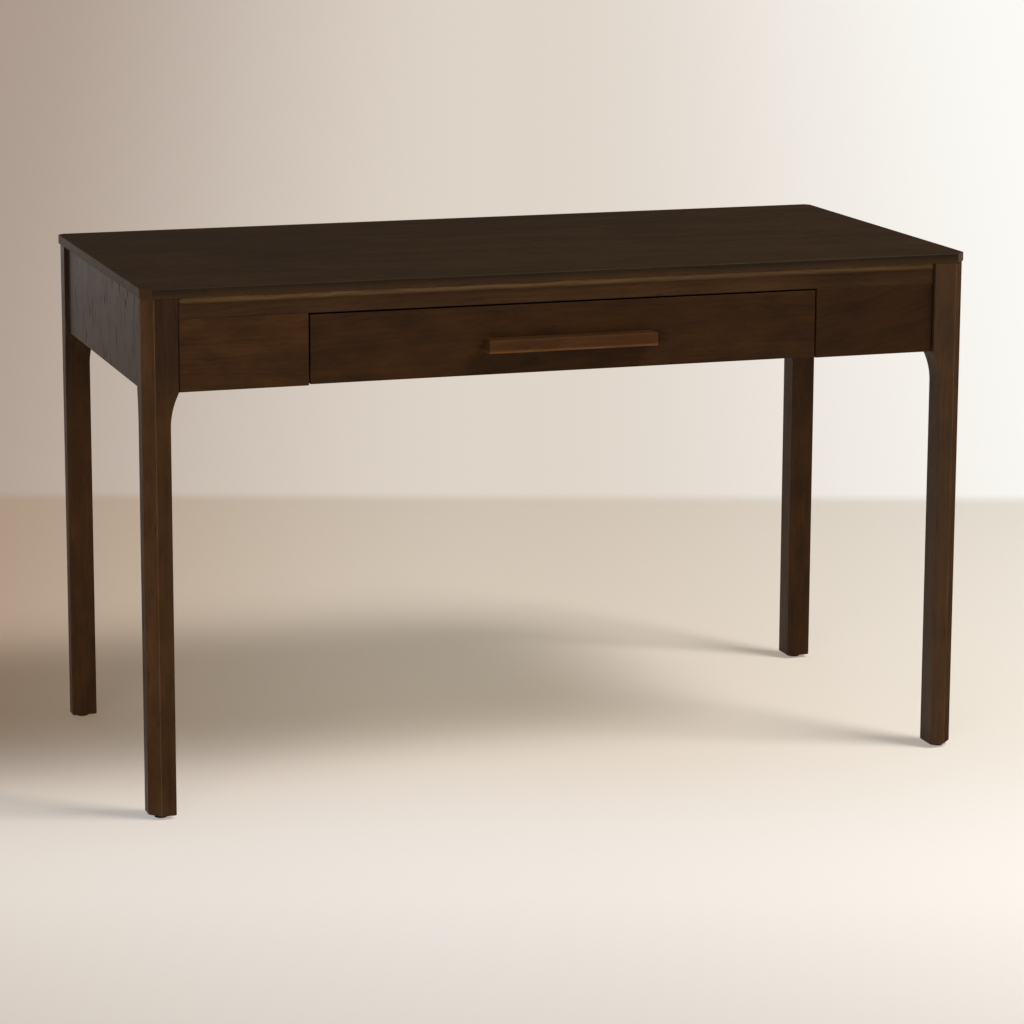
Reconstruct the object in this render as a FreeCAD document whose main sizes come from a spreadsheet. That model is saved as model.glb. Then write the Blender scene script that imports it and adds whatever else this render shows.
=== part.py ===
"""Writing desk with one wide inset drawer on telescopic slides.

Millimetres. +X runs along the desk to the sitter's right, -Y points at the sitter, +Z is up.
The origin lies on the floor, in the middle of the desk's whole box, pull included.
"""
import FreeCAD, Part
import os
import re

import Sketcher

SIZES = {
    # The whole desk
    "desk_width": 1250,
    "desk_depth": 600,
    "desk_height": 760,
    # Top: a thin board with its plan corners cut off, the back ones less
    "top_thickness": 14,
    "top_front_corner": 15,
    "top_back_corner": 8,
    "top_ease": 1.4,
    "top_overhang": 1,
    # Legs: block beside the apron, knee below it, slimmer straight leg
    "leg_width": 50,
    "leg_depth": 44,
    "leg_width_taper": 12,
    "leg_depth_taper": 5,
    "knee_height": 50,
    "leg_corner": 16,
    "leg_ease": 1.5,
    "foot_ease": 1.2,
    "glide_height": 5,
    "glide_diameter": 19,
    "glide_step": 1.2,
    "tack_width": 3,
    "tack_length": 16,
    # Aprons, rail and fixed panels
    "apron_thickness": 20,
    "apron_setback": 6,
    "apron_height": 133,
    "rail_height": 30,
    "rail_round": 10,
    "edge_ease": 1,
    "joint_gap": 1.5,
    "tenon_length": 14,
    "tenon_thickness": 9,
    "tenon_shoulder": 8,
    # Corner blocks and the bolts that hold the legs
    "block_gap": 4,
    "block_thickness": 26,
    "block_height": 60,
    "bolt_diameter": 8,
    "bolt_depth": 22,
    "bolt_head_width": 13,
    "bolt_head_height": 5.5,
    "washer_diameter": 20,
    "washer_thickness": 1.6,
    # Fixed panels beside the drawer opening, and the boards behind them
    "panel_width": 188,
    "drawer_gap": 2.4,
    "drawer_lift": 1.5,
    "bay_thickness": 18,
    "bay_reveal": 1,
    "bay_lift": 8,
    "glue_block_size": 18,
    "glue_block_height": 80,
    # Cleats and stretcher under the top
    "cleat_size": 22,
    "side_cleat_length": 360,
    "stretcher_width": 60,
    "top_screw_diameter": 4.5,
    "top_screw_bite": 9,
    "top_screw_margin": 50,
    # Drawer box
    "front_thickness": 20,
    "board_thickness": 12,
    "box_length": 430,
    "box_height": 76,
    "box_lift": 12,
    "back_inset": 10,
    "housing_depth": 5,
    "bottom_thickness": 6,
    "bottom_lift": 8,
    "groove_play": 0.2,
    "front_screw_inset": 100,
    "front_screw_diameter": 4,
    "front_screw_length": 26,
    # Pull
    "pull_length": 256,
    "pull_height": 19,
    "pull_depth": 26,
    "pull_drop": 6,
    "pull_ease": 1.5,
    "pull_groove_length": 216,
    "pull_groove_width": 12,
    "pull_groove_depth": 6,
    "pull_groove_inset": 3,
    "pull_screw_spacing": 236,
    "pull_screw_diameter": 4,
    "pull_screw_bite": 14,
    # Telescopic slides
    "slide_space": 12.7,
    "slide_height": 45,
    "slide_length": 400,
    "slide_start": 6,
    "slide_gauge": 1.2,
    "slide_play": 0.3,
    "slide_fixed_depth": 10.5,
    "slide_middle_step": 3.5,
    "slide_middle_depth": 7.7,
    "slide_drawer_depth": 7.2,
    "slide_stop_height": 16,
    "slide_screw_diameter": 3.5,
    "slide_screw_bite": 9,
    "slide_screw_margin": 40,
    # Screw heads and the clearance round every shank
    "head_diameter": 8,
    "head_height": 2,
    "shank_clearance": 0.05,
}

# Places that follow from the sizes above
PLACES = {
    "pull_reach": "max(pull_depth - apron_setback - top_overhang; 0)",
    "top_front": "(pull_reach - desk_depth) / 2",
    "top_back": "(pull_reach + desk_depth) / 2",
    "frame_top": "desk_height - top_thickness",
    "apron_bottom": "frame_top - apron_height",
    "rail_bottom": "frame_top - rail_height",
    "leg_side": "desk_width / 2 - top_overhang",
    "leg_front": "top_front + top_overhang",
    "leg_back": "top_back - top_overhang",
    "apron_inner": "apron_setback + apron_thickness",
    "apron_front": "leg_front + apron_setback",
    "apron_back": "leg_back - apron_setback",
    "inside_side": "leg_side - apron_inner",
    "inside_front": "leg_front + apron_inner",
    "inside_back": "leg_back - apron_inner",
    "tenon_near": "apron_setback + (apron_thickness - tenon_thickness) / 2",
    "tenon_far": "tenon_near + tenon_thickness",
    "tenon_bottom": "apron_bottom + tenon_shoulder",
    "tenon_top": "frame_top - tenon_shoulder",
    "block_near": "leg_width + leg_depth - 2 * apron_inner + block_gap",
    "block_far": "block_near + block_thickness * sqrt(2)",
    "block_bottom": "(tenon_bottom + rail_bottom - block_height) / 2",
    "bolt_entry": "min(leg_width; leg_depth)",
    "opening_width": "desk_width - 2 * (top_overhang + leg_width + panel_width)",
    "bay_side": "opening_width / 2 + bay_reveal",
    "bay_bottom": "apron_bottom + bay_lift",
    "drawer_bottom_edge": "apron_bottom + drawer_lift",
    "drawer_top_edge": "rail_bottom - drawer_gap",
    "box_front": "apron_front + front_thickness",
    "box_side": "bay_side - slide_space",
    "box_bottom": "apron_bottom + box_lift",
    "box_inside": "box_side - board_thickness",
    "box_rear": "box_front + box_length - back_inset",
    "floor_bottom": "box_bottom + bottom_lift",
    "floor_top": "floor_bottom + bottom_thickness + groove_play",
    "pull_middle": "(drawer_bottom_edge + drawer_top_edge) / 2 - pull_drop",
    "slide_front": "box_front + slide_start",
    "slide_middle_height": "box_bottom + box_height / 2",
}

doc = FreeCAD.newDocument("writing_desk")
sheet = doc.addObject("Spreadsheet::Sheet", "Sizes")
LEFT, RIGHT = -1, 1
FRONT, BACK = -1, 1
SIDES = {"left": LEFT, "right": RIGHT}
ENDS = {"front": FRONT, "back": BACK}


def bound(text):
    """Give every size named in an expression its place in the sheet."""
    known = SIZES.keys() | PLACES.keys()
    return re.sub(r"[a-z][a-z_]*", lambda word: "Sizes." * (word[0] in known) + word[0], str(text))


def value(text):
    """Number that an expression of sizes gives now."""
    return float(sheet.evalExpression(bound(text)))


def fill_sheet():
    """Write the driving sizes, then the places worked out from them."""
    rows = [(name, str(number)) for name, number in SIZES.items()]
    rows += [(name, "=" + text) for name, text in PLACES.items()]
    for row, (name, content) in enumerate(rows, start=1):
        sheet.set(f"A{row}", name)
        sheet.set(f"B{row}", content)
        sheet.setAlias(f"B{row}", name)
    doc.recompute()


def new_body(label, x=0, y=0, z=0):
    """Empty body for one piece, standing at a bound place."""
    body = doc.addObject("PartDesign::Body", label)
    body.Label = label
    place(body, x, y, z)
    return body


def place(item, x, y, z):
    """Bind where an object stands."""
    for axis, text in zip("xyz", (x, y, z)):
        item.setExpression(f"Placement.Base.{axis}", bound(text))


def new_sketch(body, plane, at=0, turn=None):
    """Sketch on one of the body's own planes, moved along that plane's normal.

    The XZ plane's normal points along -Y, so its offset changes sign to stay a plain Y.
    turn gives (degrees, x, y) for an upright plane turned about Z through a point.
    """
    sketch = body.newObject("Sketcher::SketchObject", f"{body.Name}_sketch")
    support = next(item for item in body.Origin.OriginFeatures if item.Role == f"{plane}_Plane")
    sketch.AttachmentSupport = (support, [""])
    sketch.MapMode = "FlatFace"
    if turn:
        degrees, x, y = turn
        sketch.AttachmentOffset = FreeCAD.Placement(
            FreeCAD.Vector(), FreeCAD.Rotation(FreeCAD.Vector(0, 1, 0), degrees))
        sketch.setExpression("AttachmentOffset.Base.x", bound(x))
        at = y
    sign = "-" if plane == "XZ" else ""
    sketch.setExpression("AttachmentOffset.Base.z", f"{sign}({bound(at)})")
    return sketch


def pin(sketch, geometry, point, corner):
    """Tie one point of a sketch to two expressions, measured from the sketch's origin."""
    for kind, text in zip(("DistanceX", "DistanceY"), corner):
        index = sketch.addConstraint(Sketcher.Constraint(kind, -1, 1, geometry, point, value(text)))
        sketch.setExpression(f"Constraints[{index}]", bound(text))


def outline(sketch, corners):
    """Closed outline of straight edges through bound corners."""
    spots = [FreeCAD.Vector(value(x), value(y), 0) for x, y in corners]
    edges = [sketch.addGeometry(Part.LineSegment(spots[i - 1], spots[i])) for i in range(len(spots))]
    for i, corner in enumerate(corners):
        sketch.addConstraint(Sketcher.Constraint("Coincident", edges[i], 2, edges[(i + 1) % len(edges)], 1))
        pin(sketch, edges[i], 2, corner)
    return sketch


def rectangle(sketch, x_low, x_high, y_low, y_high):
    """Bound rectangle."""
    return outline(sketch, [(x_low, y_low), (x_high, y_low), (x_high, y_high), (x_low, y_high)])


def square(sketch, x, y, width):
    """Bound square about a point."""
    return rectangle(sketch, f"{x} - ({width}) / 2", f"{x} + ({width}) / 2", f"{y} - ({width}) / 2",
                     f"{y} + ({width}) / 2")


def circles(sketch, centres, diameter):
    """Bound circles of one diameter."""
    for centre in centres:
        spot = FreeCAD.Vector(value(centre[0]), value(centre[1]), 0)
        circle = sketch.addGeometry(Part.Circle(spot, FreeCAD.Vector(0, 0, 1), value(diameter) / 2))
        pin(sketch, circle, 3, centre)
        index = sketch.addConstraint(Sketcher.Constraint("Diameter", circle, value(diameter)))
        sketch.setExpression(f"Constraints[{index}]", bound(diameter))
    return sketch


def knee_outline(sketch, toward, corners, low, high):
    """Outline whose stretch from low to high is the knee's concave arc.

    The arc leaves the straight leg at low, tangent to it, and reaches the block's edge at high.
    toward is the sign of the direction in which the knee swells.
    """
    spots = {corner: FreeCAD.Vector(value(corner[0]), value(corner[1]), 0) for corner in corners}
    rise = spots[high].y - spots[low].y
    swell = abs(spots[high].x - spots[low].x)
    radius = (rise ** 2 + swell ** 2) / (2 * swell)
    centre = FreeCAD.Vector(spots[low].x + toward * radius, spots[low].y, 0)
    half_way = (spots[low] + spots[high]) / 2
    crown = centre + (half_way - centre).normalize() * radius
    edges = []
    for i, corner in enumerate(corners):
        start = corners[i - 1]
        if (start, corner) == (low, high):
            edges.append(sketch.addGeometry(Part.Arc(spots[low], crown, spots[high])))
            arc = edges[-1]
        else:
            edges.append(sketch.addGeometry(Part.LineSegment(spots[start], spots[corner])))
    arc_start = 1 if sketch.getPoint(arc, 1).distanceToPoint(spots[low]) < sketch.getPoint(
        arc, 2).distanceToPoint(spots[low]) else 2
    ends = {edge: (1, 2) for edge in edges}
    ends[arc] = (arc_start, 3 - arc_start)
    for i, corner in enumerate(corners):
        following = edges[(i + 1) % len(edges)]
        sketch.addConstraint(
            Sketcher.Constraint("Coincident", edges[i], ends[edges[i]][1], following, ends[following][0]))
        pin(sketch, edges[i], ends[edges[i]][1], corner)
    level = sketch.addConstraint(Sketcher.Constraint("DistanceY", -1, 1, arc, 3, spots[low].y))
    sketch.setExpression(f"Constraints[{level}]", bound(low[1]))
    return sketch


def extrude(body, sketch, length, kind="Pad"):
    """Pad or pocket of a sketch, half of its length to each side of the sketch's plane."""
    feature = body.newObject(f"PartDesign::{kind}", f"{body.Name}_{kind}")
    feature.Profile = sketch
    feature.SideType = "Symmetric"
    feature.setExpression("Length", bound(length))
    doc.recompute()
    return feature


def cut(body, sketch, depth):
    """Pocket that goes depth into the solid from the face where its sketch lies."""
    before = body.Shape.Volume
    extrude(body, sketch, f"2 * ({depth})", "Pocket")
    if not body.Shape.Volume < before:
        raise ValueError(f"a pocket of {body.Label} cuts nothing")


def drill(body, plane, at, centres, diameter, depth):
    """Holes for shanks, with the clearance round each shank."""
    sketch = circles(new_sketch(body, plane, at), centres, f"{diameter} + 2 * shank_clearance")
    cut(body, sketch, depth)


def board(body, x_low, x_high, y_low, y_high, z_low, z_high):
    """Plain board between three pairs of bound planes, seen from above."""
    sketch = rectangle(new_sketch(body, "XY", f"({z_low} + {z_high}) / 2"), x_low, x_high, y_low, y_high)
    extrude(body, sketch, f"{z_high} - ({z_low})")
    return body


def dress(body, kind, size, wanted):
    """Fillet or chamfer the body's edges that a test on two end points picks."""
    doc.recompute()
    base = body.Tip
    picked = []
    for number, edge in enumerate(base.Shape.Edges, start=1):
        ends = [vertex.Point for vertex in edge.Vertexes]
        if len(ends) == 2 and wanted(*ends):
            picked.append(f"Edge{number}")
    feature = body.newObject(f"PartDesign::{kind}", f"{body.Name}_{kind}")
    feature.Base = (base, picked)
    feature.setExpression("Radius" if kind == "Fillet" else "Size", bound(size))
    doc.recompute()
    return feature


def near(first, second):
    """Whether two lengths are the same."""
    return abs(first - second) < 1e-4


def make_tabletop():
    """Thin top with its four corners cut off and all its edges eased."""
    body = new_body("tabletop", y="pull_reach / 2", z="frame_top")
    corners = []
    for sx, sy in ((1, -1), (1, 1), (-1, 1), (-1, -1)):
        corner = "top_front_corner" if sy == FRONT else "top_back_corner"
        along = (f"{sx} * (desk_width / 2 - {corner})", f"{sy} * desk_depth / 2")
        across = (f"{sx} * desk_width / 2", f"{sy} * (desk_depth / 2 - {corner})")
        corners += [along, across] if sx * sy < 0 else [across, along]
    extrude(body, outline(new_sketch(body, "XY", "top_thickness / 2"), corners), "top_thickness")
    dress(body, "Fillet", "top_ease", lambda a, b: near(a.z, b.z))
    spots = [(x, f"{y} - pull_reach / 2") for x, y in top_screw_spots()]
    drill(body, "XY", 0, spots, "top_screw_diameter", "top_screw_bite")
    return body


def top_screw_spots():
    """Where screws go up into the top through the cleats: the back one's, then the side ones'."""
    back_line = "inside_back - cleat_size / 2"
    spots = [(f"{side} * (bay_side - top_screw_margin)", back_line) for side in (LEFT, RIGHT)]
    for side in (LEFT, RIGHT):
        for end in (FRONT, BACK):
            spots.append((f"{side} * (inside_side - cleat_size / 2)",
                          f"pull_reach / 2 + {end} * (side_cleat_length / 2 - top_screw_margin)"))
    return spots


def make_leg(label, side, end):
    """Leg: block, knee on both inner faces, slim straight part, facet on the outer corner.

    Its own origin is the outer corner at the foot. side and end say which corner of the desk it holds.
    """
    body = new_body(label, f"{side} * leg_side", "leg_front" if end == FRONT else "leg_back", "glide_height")
    knee_top = "apron_bottom - glide_height"
    knee_low = f"{knee_top} - knee_height"
    head = "frame_top - glide_height"
    inward_x, inward_y = -side, -end

    slim, full = f"{inward_x} * (leg_width - leg_width_taper)", f"{inward_x} * leg_width"
    profile = new_sketch(body, "XZ", f"{inward_y} * leg_depth / 2")
    low, high = (slim, knee_low), (full, knee_top)
    knee_outline(profile, inward_x, [(0, 0), (slim, 0), low, high, (full, head), (0, head)], low, high)
    extrude(body, profile, "leg_depth")

    slim, full = f"{inward_y} * (leg_depth - leg_depth_taper)", f"{inward_y} * leg_depth"
    shaving = new_sketch(body, "YZ")
    low, high = (slim, knee_low), (full, knee_top)
    knee_outline(shaving, inward_y, [(slim, 0), low, high, (full, 0)], low, high)
    cut(body, shaving, "leg_width")

    dress(body, "Chamfer", "leg_corner", lambda a, b: near(abs(a.x) + abs(a.y) + abs(b.x) + abs(b.y), 0))
    facet = value("leg_corner")
    dress(body, "Fillet", "leg_ease",
          lambda a, b: near(a.x, b.x) and near(a.y, b.y) and near(a.x * a.y, 0)
          and near(abs(a.x + a.y), facet))
    dress(body, "Chamfer", "foot_ease", lambda a, b: near(a.z, 0) and near(b.z, 0))

    levels = ("tenon_bottom - glide_height", "tenon_top - glide_height")
    across = (f"{inward_y} * tenon_near", f"{inward_y} * tenon_far")
    mortise = rectangle(new_sketch(body, "YZ", f"{inward_x} * leg_width"), *across, *levels)
    cut(body, mortise, "tenon_length")
    across = (f"{inward_x} * tenon_near", f"{inward_x} * tenon_far")
    mortise = rectangle(new_sketch(body, "XZ", f"{inward_y} * leg_depth"), *across, *levels)
    cut(body, mortise, "tenon_length")

    turn = (-45 * inward_x * inward_y, f"{inward_x} * bolt_entry", f"{inward_y} * bolt_entry")
    bolt_hole = circles(new_sketch(body, "XZ", turn=turn),
                        [(0, "block_bottom + block_height / 2 - glide_height")],
                        "bolt_diameter + 2 * shank_clearance")
    cut(body, bolt_hole, "bolt_depth")
    tack_spot = glide_spot(inward_x, inward_y)
    cut(body, square(new_sketch(body, "XY"), *tack_spot, "tack_width + 2 * shank_clearance"), "tack_length")
    return body


def glide_spot(inward_x, inward_y):
    """Middle of a leg's foot, from the leg's outer corner."""
    return (f"{inward_x} * (leg_width - leg_width_taper) / 2",
            f"{inward_y} * (leg_depth - leg_depth_taper) / 2")


def make_glide(label, side, end):
    """Glide of a foot: a narrower tread, its rim, and the square tack that holds it in the leg."""
    spot_x, spot_y = glide_spot(-side, -end)
    edge = "leg_front" if end == FRONT else "leg_back"
    tread = rod(f"{label}_tread", "glide_diameter - 2 * glide_step", "glide_height", flats=24)
    rim = rod(f"{label}_rim", "glide_diameter", "glide_height - glide_step", "glide_step", flats=24)
    tack = doc.addObject("Part::Box", f"{label}_tack")
    tack.setExpression("Length", bound("tack_width"))
    tack.setExpression("Width", bound("tack_width"))
    tack.setExpression("Height", bound("glide_height + tack_length - glide_step"))
    place(tack, "-tack_width / 2", "-tack_width / 2", "glide_step")
    return fastener(label, [tread, rim, tack], (0, 0, 1),
                    f"{side} * leg_side + {spot_x}", f"{edge} + {spot_y}", 0)


def make_front_rail():
    """Rail under the top between the front legs, its upper front edge rounded, with a tenon at each end.

    A fine shadow line stays open between the rail and the legs.
    """
    body = new_body("front_rail")
    face = value("apron_front")
    half = "leg_side - leg_width - joint_gap"
    board(body, f"-({half})", half, "apron_front", "inside_front", "rail_bottom", "frame_top")
    for size, level in (("rail_round", "frame_top"), ("edge_ease", "rail_bottom")):
        edge_z = value(level)
        dress(body, "Fillet", size,
              lambda a, b: near(a.z, edge_z) and near(a.z, b.z) and near(a.y, face) and near(a.y, b.y))
    reach = "leg_side - leg_width + tenon_length"
    board(body, f"-({reach})", reach, "leg_front + tenon_near", "leg_front + tenon_far",
          "rail_bottom", "tenon_top")
    return body


def make_front_panel(label, side):
    """Fixed panel between a front leg and the drawer opening, tenoned into the leg, its front edges eased."""
    body = new_body(label)
    face = value("apron_front")
    board(body, f"{side} * (leg_side - leg_width - joint_gap)", f"{side} * opening_width / 2",
          "apron_front", "inside_front", "apron_bottom", "rail_bottom")
    dress(body, "Fillet", "edge_ease", lambda a, b: near(a.y, face) and near(a.y, b.y))
    board(body, f"{side} * (leg_side - leg_width + tenon_length)",
          f"{side} * (opening_width / 2 + bay_thickness)",
          "leg_front + tenon_near", "leg_front + tenon_far", "tenon_bottom", "rail_bottom")
    return body


def make_side_apron(label, side):
    """Side apron between the front and back legs, tenoned into both."""
    body = new_body(label)
    outer, inner = f"{side} * (leg_side - apron_setback)", f"{side} * inside_side"
    front, back = "leg_front + leg_depth", "leg_back - leg_depth"
    board(body, outer, inner, front, back, "apron_bottom", "frame_top")
    dress(body, "Fillet", "edge_ease",
          lambda a, b: near(a.z, value("apron_bottom")) and near(a.z, b.z)
          and near(a.x, value(outer)) and near(a.x, b.x))
    board(body, f"{side} * (leg_side - tenon_far)", f"{side} * (leg_side - tenon_near)",
          f"{front} - tenon_length", f"{back} + tenon_length", "tenon_bottom", "tenon_top")
    return body


def make_back_apron():
    """Full back apron between the back legs, tenoned into both."""
    body = new_body("back_apron")
    half = "leg_side - leg_width"
    board(body, f"-({half})", half, "inside_back", "apron_back", "apron_bottom", "frame_top")
    dress(body, "Fillet", "edge_ease",
          lambda a, b: near(a.z, value("apron_bottom")) and near(a.z, b.z)
          and near(a.y, value("apron_back")) and near(a.y, b.y))
    reach = f"{half} + tenon_length"
    board(body, f"-({reach})", reach, "leg_back - tenon_far", "leg_back - tenon_near",
          "tenon_bottom", "tenon_top")
    return body


def make_corner_block(label, side, end):
    """Mitred block across an inner corner of the frame, drilled for its leg bolt."""
    edge = "inside_front" if end == FRONT else "inside_back"
    body = new_body(label, f"{side} * inside_side", edge, "block_bottom")
    inward_x, inward_y = -side, -end
    shape = outline(new_sketch(body, "XY", "block_height / 2"), [
        (f"{inward_x} * block_near", 0), (f"{inward_x} * block_far", 0),
        (0, f"{inward_y} * block_far"), (0, f"{inward_y} * block_near")])
    extrude(body, shape, "block_height")
    middle = "(block_near + block_far) / 4"
    turn = (-45 * inward_x * inward_y, f"{inward_x} * {middle}", f"{inward_y} * {middle}")
    hole = circles(new_sketch(body, "XZ", turn=turn), [(0, "block_height / 2")],
                   "bolt_diameter + 2 * shank_clearance")
    cut(body, hole, "block_thickness")
    return body


def make_drawer_bay(label, side):
    """Board from the front panel to the back apron that carries one drawer slide."""
    body = new_body(label)
    board(body, f"{side} * bay_side", f"{side} * (bay_side + bay_thickness)", "inside_front", "inside_back",
          "bay_bottom", "frame_top")
    drill(body, "YZ", f"{side} * bay_side", slide_screw_spots(), "slide_screw_diameter", "slide_screw_bite")
    return body


def slide_screw_spots():
    """Screws of one slide member, near both its ends."""
    stretch = ("slide_screw_margin", "slide_length - slide_screw_margin")
    return [(f"slide_front + {along}", "slide_middle_height") for along in stretch]


def make_glue_blocks():
    """Three-cornered blocks that glue the bay boards to the front panels and the back apron."""
    blocks = []
    for side in (LEFT, RIGHT):
        for end, face in ((FRONT, "inside_front"), (BACK, "inside_back")):
            body = new_body(f"glue_block_{len(blocks)}", f"{side} * (bay_side + bay_thickness)", face,
                            "bay_bottom")
            shape = outline(new_sketch(body, "XY", "glue_block_height / 2"), [
                (0, 0), (f"{side} * glue_block_size", 0), (0, f"{-end} * glue_block_size")])
            extrude(body, shape, "glue_block_height")
            blocks.append(body)
    return group("bay_glue_blocks", blocks)


def make_cleats():
    """Strips under the top along the sides and the back, drilled for its screws, and a glued stretcher."""
    low = "frame_top - cleat_size"
    spots = top_screw_spots()
    back = board(new_body("top_cleat_back"), "-bay_side", "bay_side",
                 "inside_back - cleat_size", "inside_back", low, "frame_top")
    drill(back, "XY", low, spots[:2], "top_screw_diameter", "cleat_size")
    made = [back]
    for (word, side), own in zip(SIDES.items(), (spots[2:4], spots[4:])):
        half = "side_cleat_length / 2"
        cleat = board(new_body(f"top_cleat_{word}"), f"{side} * (inside_side - cleat_size)",
                      f"{side} * inside_side", f"pull_reach / 2 - {half}", f"pull_reach / 2 + {half}",
                      low, "frame_top")
        drill(cleat, "XY", low, own, "top_screw_diameter", "cleat_size")
        made.append(cleat)
    stretcher = board(new_body("centre_stretcher"), "-stretcher_width / 2", "stretcher_width / 2",
                      "inside_front", "inside_back - cleat_size", low, "frame_top")
    return made + [stretcher]


def make_drawer_front():
    """Inset drawer front, flush with the fixed panels, with eased edges."""
    body = new_body("drawer_front")
    half = "opening_width / 2 - drawer_gap"
    board(body, f"-({half})", half, "apron_front", "box_front", "drawer_bottom_edge", "drawer_top_edge")
    dress(body, "Fillet", "edge_ease", lambda a, b: near(a.y, value("apron_front")) and near(a.y, b.y))
    bite = "front_screw_length - board_thickness"
    drill(body, "XZ", "box_front", front_screw_spots(), "front_screw_diameter", bite)
    drill(body, "XZ", "box_front", pull_screw_spots(), "pull_screw_diameter", "front_thickness")
    return body


def front_screw_spots():
    """Screws that hold the ends of the drawer front on its box, seen from the front."""
    level = "(floor_top + box_bottom + box_height) / 2"
    return [(f"{side} * (box_inside - front_screw_inset)", level) for side in (LEFT, RIGHT)]


def pull_screw_spots():
    """Screws that hold the pull, seen from the front."""
    return [(f"{side} * pull_screw_spacing / 2", "pull_middle") for side in (LEFT, RIGHT)]


def make_drawer_box():
    """Inner front, sides, back and bottom of the drawer, housed and grooved into each other."""
    box_top = "box_bottom + box_height"
    housed = "box_inside + housing_depth"

    inner_front = board(new_body("drawer_box_front"), f"-({housed})", housed, "box_front",
                        "box_front + board_thickness", "box_bottom", box_top)
    groove = rectangle(new_sketch(inner_front, "XZ", "box_front + board_thickness"),
                       f"-({housed})", housed, "floor_bottom", "floor_top")
    cut(inner_front, groove, "housing_depth")
    drill(inner_front, "XZ", "box_front", front_screw_spots(), "front_screw_diameter", "board_thickness")
    drill(inner_front, "XZ", "box_front", pull_screw_spots(), "pull_screw_diameter", "board_thickness")

    back = board(new_body("drawer_back"), f"-({housed})", housed, "box_rear - board_thickness", "box_rear",
                 "floor_top", box_top)

    sides = []
    for word, side in SIDES.items():
        wall = board(new_body(f"drawer_side_{word}"), f"{side} * box_inside", f"{side} * box_side",
                     "box_front", "box_front + box_length", "box_bottom", box_top)
        dress(wall, "Fillet", "edge_ease", lambda a, b: near(a.z, value(box_top)) and near(a.x, b.x))
        inner_face = f"{side} * box_inside"
        for low in ("box_front", "box_rear - board_thickness"):
            housing = rectangle(new_sketch(wall, "YZ", inner_face), low, f"{low} + board_thickness",
                                "box_bottom", box_top)
            cut(wall, housing, "housing_depth")
        groove = rectangle(new_sketch(wall, "YZ", inner_face), "box_front + board_thickness - housing_depth",
                           "box_rear", "floor_bottom", "floor_top")
        cut(wall, groove, "housing_depth")
        outer_face = f"{side} * box_side"
        drill(wall, "YZ", outer_face, slide_screw_spots(), "slide_screw_diameter", "slide_screw_bite")
        sides.append(wall)

    inset = "housing_depth - groove_play"
    bottom = board(new_body("drawer_bottom"), f"-(box_inside + {inset})", f"box_inside + {inset}",
                   f"box_front + board_thickness - ({inset})", "box_rear", "floor_bottom",
                   "floor_bottom + bottom_thickness")
    return [inner_front, back, bottom] + sides


def make_pull():
    """Long bar pull with eased edges and a finger groove along its underside."""
    half, low, high = "pull_length / 2", "pull_middle - pull_height / 2", "pull_middle + pull_height / 2"
    body = new_body("drawer_pull")
    board(body, f"-{half}", half, "apron_front - pull_depth", "apron_front", low, high)
    face = value("apron_front")
    dress(body, "Fillet", "pull_ease", lambda a, b: not (near(a.y, face) and near(b.y, face)))
    groove_back = "apron_front - pull_groove_inset"
    groove = rectangle(new_sketch(body, "XY", low), "-pull_groove_length / 2", "pull_groove_length / 2",
                       f"{groove_back} - pull_groove_width", groove_back)
    cut(body, groove, "pull_groove_depth")
    drill(body, "XZ", "apron_front", pull_screw_spots(), "pull_screw_diameter", "pull_screw_bite")
    return body


def channel(label, side, web, tip, half_height, length="slide_length"):
    """Pressed steel channel of a slide, drawn across the slide and padded along the drawer's travel.

    web and tip are distances from the bay board to the outer face of its web and to the ends of its lips.
    """
    body = new_body(label, f"{side} * bay_side", "slide_front", "slide_middle_height")
    opens = 1 if value(tip) > value(web) else -1
    inner_web = f"{web} + {opens} * slide_gauge"
    lip = f"{half_height} - slide_gauge"
    corners = [(web, f"-({half_height})"), (tip, f"-({half_height})"), (tip, f"-({lip})"),
               (inner_web, f"-({lip})"), (inner_web, lip), (tip, lip), (tip, half_height), (web, half_height)]
    profile = new_sketch(body, "XZ", f"({length}) / 2")
    outline(profile, [(f"{-side} * ({x})", z) for x, z in corners])
    extrude(body, profile, length)
    return body


def slide_holes(body, side, web):
    """Screw holes in a member's web, in the member's own frame."""
    spots = [(f"{y} - slide_front", 0) for y, _ in slide_screw_spots()]
    drill(body, "YZ", f"{-side} * ({web})", spots, "slide_screw_diameter", "slide_gauge")


def make_slide(word, side):
    """Telescopic slide of three nested channels; the fixed one ends in a bent-up stop."""
    stop_room = "slide_length + slide_play"
    half = "slide_height / 2"
    step = "slide_gauge + slide_play"
    fixed = channel(f"slide_fixed_{word}", side, "0", "slide_fixed_depth", half, f"{stop_room} + slide_gauge")
    board(fixed, 0, f"{-side} * slide_fixed_depth", stop_room, f"{stop_room} + slide_gauge",
          "-slide_stop_height / 2", "slide_stop_height / 2")
    slide_holes(fixed, side, "0")
    middle = channel(f"slide_middle_{word}", side, "slide_middle_step",
                     "slide_middle_step + slide_middle_depth", f"{half} - ({step})")
    moving = channel(f"slide_drawer_{word}", side, "slide_space", "slide_space - slide_drawer_depth",
                     f"{half} - 2 * ({step})")
    slide_holes(moving, side, "slide_space")
    return [fixed, middle, moving]


def fastener(name, parts, direction, x, y, z):
    """Fused fastener laid along a direction, with its bearing face at a bound place."""
    solid = doc.addObject("Part::MultiFuse", name)
    solid.Shapes = parts
    solid.Placement = FreeCAD.Placement(
        FreeCAD.Vector(), FreeCAD.Rotation(FreeCAD.Vector(0, 0, 1), FreeCAD.Vector(*direction)))
    place(solid, x, y, z)
    return solid


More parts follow.
